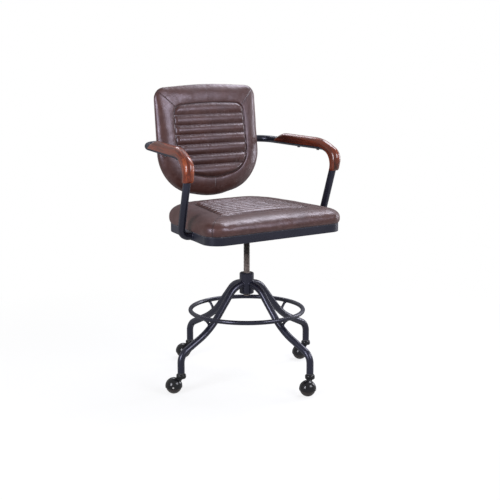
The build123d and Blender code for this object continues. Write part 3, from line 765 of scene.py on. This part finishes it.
def reach(spot, way, line):
    """How far a ray goes from a spot to the first crossing of a line."""
    best = 0.0
    for start, end in zip(line, line[1:]):
        run = end - start
        det = way[0] * -run[1] + run[0] * way[1]
        if abs(det) < 1e-9:
            continue
        gap = start - spot
        far = (gap[0] * -run[1] + run[0] * gap[1]) / det
        share = (way[0] * gap[1] - way[1] * gap[0]) / det
        if far > 0 and -1e-6 <= share <= 1 + 1e-6 and (best == 0 or far < best):
            best = far
    return best


# The arm tube: its foot on the frame's side, the stand beside it, the front corner and the rear end
front_corner, rear_corner = (np.array((*corner, 0), float) for corner in seat_corners[1:3])
foot_y, foot_drop, stand_off = -48, 14.5, 40
frame_side = unit(rear_corner - front_corner)
frame_out = np.array((frame_side[1], -frame_side[0], 0))
arm_foot = front_corner + np.array((0, 0, frame_top - foot_drop))
arm_foot = arm_foot + frame_side * (foot_y - front_corner[1]) / frame_side[1]
arm_stand = arm_foot + frame_out * stand_off
arm_corner = np.array((306, -118, frame_top + 249), float)
arm_rear = np.array((256, 259, frame_top + 262))
rearward = unit(arm_rear - arm_corner)
upward = unit(arm_corner - arm_stand)
top_out = unit(upward - rearward * (rearward @ upward))
across = np.cross(rearward, top_out)
tube_r, arm_bend = 12.5, 60

# The wood's side view, in the arm's plane: along the tube from its front corner, and up
rest_half, rest_low, largest_round = 19.0, -1.0, 18.5
rest_top, rest_face = tube_r + 16, tube_r + 8
rest_end_y, shoulder_at = 182, 76
front_slope = radians(24)
least_wood = 0.8
down = -np.array((upward @ rearward, upward @ top_out))
forward = np.array((down[1], -down[0]))
bend_tangent = arm_bend * tan(acos(-down[0]) / 2)
rest_length = (rest_end_y - arm_corner[1]) / rearward[1]
shoulder = np.array((shoulder_at, rest_top))
slope = -np.array((cos(front_slope), sin(front_slope)))
chin = shoulder + slope * (rest_face - shoulder @ forward) / (slope @ forward)
toe = down * (bend_tangent + 3)
outer_corners = (
    (rest_length + 1, -4),
    (rest_length - 26, rest_top),
    shoulder,
    chin,
    toe + forward * rest_face,
    toe - forward * 4,
)
outer = rounded_line(outer_corners, (52, 130, 48, 14), 14)
axis, axis_at = resampled(rounded_line((toe, (0, 0), (rest_length, 0)), (arm_bend,), 24), 3)
axis_run = np.gradient(axis, axis_at, axis=0)
axis_run /= np.linalg.norm(axis_run, axis=1)[:, None]
axis_out = np.stack([-axis_run[:, 1], axis_run[:, 0]], axis=1)


def rest_section(height):
    """Half-round section of the wood above the tube's axis: across and up, from edge to edge."""
    corner = min(largest_round, 0.72 * (height - rest_low))
    right = [(rest_half - 0.5, rest_low), (rest_half, rest_low + 0.3 * (height - corner - rest_low))]
    for k in range(9):
        turn = pi / 2 * k / 8
        right.append((rest_half - corner * (1 - cos(turn)), height - corner * (1 - sin(turn))))
    return right + [(0, height + 0.5)] + [(-x, y) for x, y in right[::-1]]


def in_arm(flat, sideways, side):
    """Points of the arm's plane, and beside it, in the row frame."""
    spots = arm_corner + np.outer(flat[:, 0], rearward) + np.outer(flat[:, 1], top_out)
    spots = spots + np.outer(sideways, across)
    return spots * np.array((side, 1, 1))


def bar_faces(rings, count, side):
    """Faces of a bar with closed ends through rings of points, turned over on the mirrored side."""
    total = rings * count
    faces = [tuple(range(count)), tuple(range(total - 1, total - count - 1, -1))]
    for index in range(rings - 1):
        faces += ring_faces((index + 1) * count, index * count, count)
    return faces if side > 0 else [face[::-1] for face in faces]


# The groove that the tube lies in, cut past both ends of the wood
groove_r, groove_past = tube_r + 0.1, 20
groove_turns = np.array(circle_turns(32))
grain_apart = 60  # between the two arms' grain, so that they differ
for side_name, side in (("left", 1), ("right", -1)):
    flat, sideways = [], []
    sections = [(spot, way, reach(spot, way, outer)) for spot, way in zip(axis, axis_out)]
    sections = [(spot, way, height) for spot, way, height in sections if height > least_wood]
    for spot, way, height in sections:
        for x, y in rest_section(height):
            flat.append(spot + way * y)
            sideways.append(x)
    rest_points = in_arm(np.array(flat), np.array(sideways), side)
    rest_faces = bar_faces(len(sections), len(flat) // len(sections), side)
    rest = new_piece(f"wood_rest_{side_name}", rest_points, rest_faces, "seat", mahogany)

    groove_path = np.vstack([axis[:1] + down * groove_past, axis, axis[-1:] + np.array((groove_past, 0))])
    groove_out = np.vstack([axis_out[:1], axis_out, axis_out[-1:]])
    groove_lift = (np.sin(groove_turns) * groove_r)[None, :, None]
    groove_flat = (groove_path[:, None, :] + groove_out[:, None, :] * groove_lift).reshape(-1, 2)
    groove_side = np.tile(np.cos(groove_turns) * groove_r, len(groove_path))
    groove_points = in_arm(groove_flat, groove_side, side)
    groove_faces = bar_faces(len(groove_path), len(groove_turns), side)
    cutter = new_piece("groove", groove_points, groove_faces, "seat", mahogany)
    cut = rest.modifiers.new("Groove", "BOOLEAN")
    cut.object = cutter
    cut.solver = "EXACT"
    shaped = bpy.data.meshes.new_from_object(rest.evaluated_get(bpy.context.evaluated_depsgraph_get()))
    rest.modifiers.clear()
    rest.data = shaped
    bpy.data.objects.remove(cutter)
    shaped.polygons.foreach_set("use_smooth", [True] * len(shaped.polygons))
    shaped.set_sharp_from_angle(angle=radians(38))

    offset = coordinates(shaped) / MM * np.array((side, 1, 1)) - arm_corner
    plane = np.stack([offset @ rearward, offset @ top_out], axis=1)
    nearest = np.linalg.norm(plane[:, None, :] - axis[None, :, :], axis=2).argmin(1)
    from_axis = plane - axis[nearest]
    along = axis_at[nearest] + (from_axis * axis_run[nearest]).sum(1)
    lift = (from_axis * axis_out[nearest]).sum(1)
    add_attribute(shaped, "grain", np.stack([along, lift, offset @ across + grain_apart * side], axis=1) * MM)
    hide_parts(f"armrest_{side_name}")


# Spindle with its thread

pitch = 5.0
major, minor = 10.95, 9.0
crest_share, flank_share = 0.45, 0.35
tip_share, tip_length = 0.75, 12
spindle_sides = 40
spindle_length = spindle_top - spindle_bottom
thread_steps = int(spindle_length / (pitch / 8))
spindle_points, thread_marks = [], []
for step in range(thread_steps + 1):
    z = spindle_bottom + spindle_length * step / thread_steps
    taper = min(1, tip_share + (z - spindle_bottom) / tip_length)
    for k, turn in enumerate(circle_turns(spindle_sides)):
        phase = (z / pitch - k / spindle_sides) % 1
        flank = min(max((abs(phase - 0.5) * 2 - crest_share) / flank_share, 0), 1)
        radius = (major - (major - minor) * flank) * taper
        spindle_points.append((radius * cos(turn), radius * sin(turn), z))
        thread_marks.append((flank, (z - hub_top) / (spindle_top - hub_top), 0))
spindle_faces = []
for step in range(thread_steps):
    spindle_faces += ring_faces(step * spindle_sides, (step + 1) * spindle_sides, spindle_sides)
spindle_faces.append(tuple(range(spindle_sides - 1, -1, -1)))
spindle_faces.append(tuple(range(thread_steps * spindle_sides, (thread_steps + 1) * spindle_sides)))
thread = new_piece("threaded_spindle", spindle_points, spindle_faces, "seat", spindle_steel)
add_attribute(thread.data, "thread", thread_marks)
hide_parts("spindle")


# Weld beads

def bead_radii(count, radius, seed):
    """A rippled weld: a radius at each point of its path."""
    return [radius * (1 + 0.22 * noise.noise(Vector((k * 0.9, seed, 0.3)))) for k in range(count)]


leg_angles = {"left": 8.4, "back": 98.4, "right": 188.4, "front": 278.4}
hub_r, leg_r = 25.0, 12.0
ring_r, ring_weld_at = 197, 8.2
bead_r, strut_bead_r, strut_weld_r = 2.0, 1.7, 4.8
weld_steps, strut_steps, bead_sides = 48, 28, 8
arm_weld_r = 13.0
weld_proud = 0.6  # of what the larger beads run round
root_r, root_z = 12.5, hub_top - 37
bend_r, bend_z = 63, hub_top - 48
root_slope = (bend_z - root_z) / (bend_r - root_r)
# A leg's axis, as radius and height: root, shoulder, knee, ankle and foot
leg_corners = ((root_r, root_z), (bend_r, bend_z), (173, hub_top - 177), (305, hub_top - 239), (305, 71))
leg_line, _ = resampled(rounded_line(leg_corners, (75, 250, 42), 40), 1)
ring_spot = np.array((ring_r, ring_z))
strut_way = leg_line[np.linalg.norm(leg_line - ring_spot, axis=1).argmin()] - ring_spot
strut_welds = (("ring", ring_weld_at), ("leg", np.linalg.norm(strut_way) - leg_r - 0.8))
strut_way = unit(strut_way)
strut_side = np.array((-strut_way[1], strut_way[0]))
for seed, (leg_name, angle) in enumerate(leg_angles.items()):
    radial = np.array((cos(radians(angle)), sin(radians(angle)), 0))
    sideways = np.array((-radial[1], radial[0], 0))
    weld_path = []
    for turn in circle_turns(weld_steps):
        side_step = (leg_r + weld_proud) * cos(turn)
        hub_reach = (hub_r ** 2 - side_step ** 2) ** 0.5 + 0.4
        height = root_z + root_slope * (hub_reach - root_r) + (leg_r + weld_proud) * sin(turn)
        weld_path.append(radial * hub_reach + sideways * side_step + np.array((0, 0, height)))
    ripple = bead_radii(weld_steps, bead_r, seed)
    tube(f"weld_hub_{leg_name}", weld_path, ripple, "base", paint, bead_sides)
    for end_name, far in strut_welds:
        middle = ring_spot + strut_way * far
        weld_path = []
        for turn in circle_turns(strut_steps):
            flat_spot = middle + strut_side * strut_weld_r * cos(turn)
            spot = radial * flat_spot[0] + np.array((0, 0, flat_spot[1]))
            weld_path.append(spot + sideways * strut_weld_r * sin(turn))
        ripple = bead_radii(strut_steps, strut_bead_r, 20 + seed)
        tube(f"weld_{end_name}_{leg_name}", weld_path, ripple, "base", paint, bead_sides)

for seed, (side_name, side) in enumerate((("left", 1), ("right", -1))):
    weld_path = []
    for turn in circle_turns(weld_steps):
        spot = arm_foot + frame_out * weld_proud
        spot = spot + (frame_side * cos(turn) + np.array((0, 0, 1)) * sin(turn)) * arm_weld_r
        weld_path.append(spot * np.array((side, 1, 1)))
    ripple = bead_radii(weld_steps, bead_r, 7 + seed)
    tube(f"weld_arm_{side_name}", weld_path, ripple, "seat", paint, bead_sides)


# Studio

def seen_directly(tree):
    """1 for the camera's rays and for those that gloss or glass sends on, 0 for diffuse light."""
    rays = add_node(tree, "LightPath")
    seen = math(tree, "MAXIMUM", rays.outputs["Is Camera Ray"], rays.outputs["Is Glossy Ray"])
    return math(tree, "MAXIMUM", seen, rays.outputs["Is Transmission Ray"])


half_floor = 30
floor_corners = [(x * half_floor, y * half_floor, 0) for x, y in ((-1, -1), (1, -1), (1, 1), (-1, 1))]
floor_mesh = bpy.data.meshes.new("floor")
floor_mesh.from_pydata(floor_corners, [], [(0, 1, 2, 3)])
floor = bpy.data.objects.new("floor", floor_mesh)
scene.collection.objects.link(floor)
floor_material = bpy.data.materials.new("pale_floor")
floor_material.use_nodes = True
floor_tree = floor_material.node_tree
floor_tree.nodes.clear()
lit = add_node(floor_tree, "BsdfDiffuse", {"Color": (0.6, 0.6, 0.6, 1)})
glow = add_node(floor_tree, "Emission", {"Color": (1, 1, 1, 1), "Strength": 1.0})
from_middle = add_node(floor_tree, "VectorMath", {0: object_place(floor_tree)}, operation="LENGTH")
white_share = mapped(floor_tree, from_middle.outputs["Value"], 0.3, 1.6, 0.8, 1.0)
floor_share = math(floor_tree, "MULTIPLY", seen_directly(floor_tree), white_share)
floor_mix = add_node(floor_tree, "MixShader", {0: floor_share, 1: lit.outputs[0], 2: glow.outputs[0]})
add_node(floor_tree, "OutputMaterial", {0: floor_mix.outputs[0]})
floor_mesh.materials.append(floor_material)

world = bpy.data.worlds.new("studio")
scene.world = world
world.use_nodes = True
world_tree = world.node_tree
background = world_tree.nodes["Background"]
background.inputs["Color"].default_value = (1, 1, 1, 1)
world_strength = mapped(world_tree, seen_directly(world_tree), 0, 1, 0.14, 1.0)
world_tree.links.new(world_strength, background.inputs["Strength"])


def softbox(name, azimuth, elevation, distance, width, height, power):
    """A soft lamp that looks at the chair's middle; azimuth 0 is straight before the chair."""
    around, above = radians(azimuth), radians(elevation)
    way = Vector((sin(around) * cos(above), -cos(around) * cos(above), sin(above)))
    lamp = bpy.data.lights.new(name, "AREA")
    lamp.shape = "RECTANGLE"
    lamp.size = width
    lamp.size_y = height
    lamp.energy = power
    lamp.color = (0.9, 0.91, 1.0)
    holder = bpy.data.objects.new(name, lamp)
    holder.location = Vector((0, 0, 0.6)) + way * distance
    holder.rotation_euler = (-way).to_track_quat("-Z", "Y").to_euler()
    scene.collection.objects.link(holder)


softbox("high_right", 102, 50, 2.4, 1.3, 1.0, 70)
softbox("front_right", 18, 25, 2.6, 1.3, 1.1, 81)
softbox("left", -72, 14, 2.6, 0.9, 1.3, 96)
softbox("right", 84, 8, 2.6, 0.6, 1.0, 40)
softbox("behind", 160, 42, 2.8, 0.9, 0.5, 27)


# Camera, at the photograph's angle and distance

azimuth, elevation = radians(-35.66), radians(10.67)
view_back = Vector((sin(azimuth) * cos(elevation), -cos(azimuth) * cos(elevation), sin(elevation)))
view_right = Vector((cos(azimuth), sin(azimuth), 0))
view_up = view_back.cross(view_right)
camera_data = bpy.data.cameras.new("camera")
camera_data.lens = 79.89
camera_data.sensor_width = 36
camera = bpy.data.objects.new("camera", camera_data)
camera_place = view_back * 3.940 + view_right * 0.01164 + view_up * 0.4335 + Vector((0, 0, 0.009))
camera_turn = Matrix((view_right, view_up, view_back)).transposed().to_4x4()
camera.matrix_world = Matrix.Translation(camera_place) @ camera_turn
scene.collection.objects.link(camera)
scene.camera = camera

scene.view_settings.view_transform = "Standard"
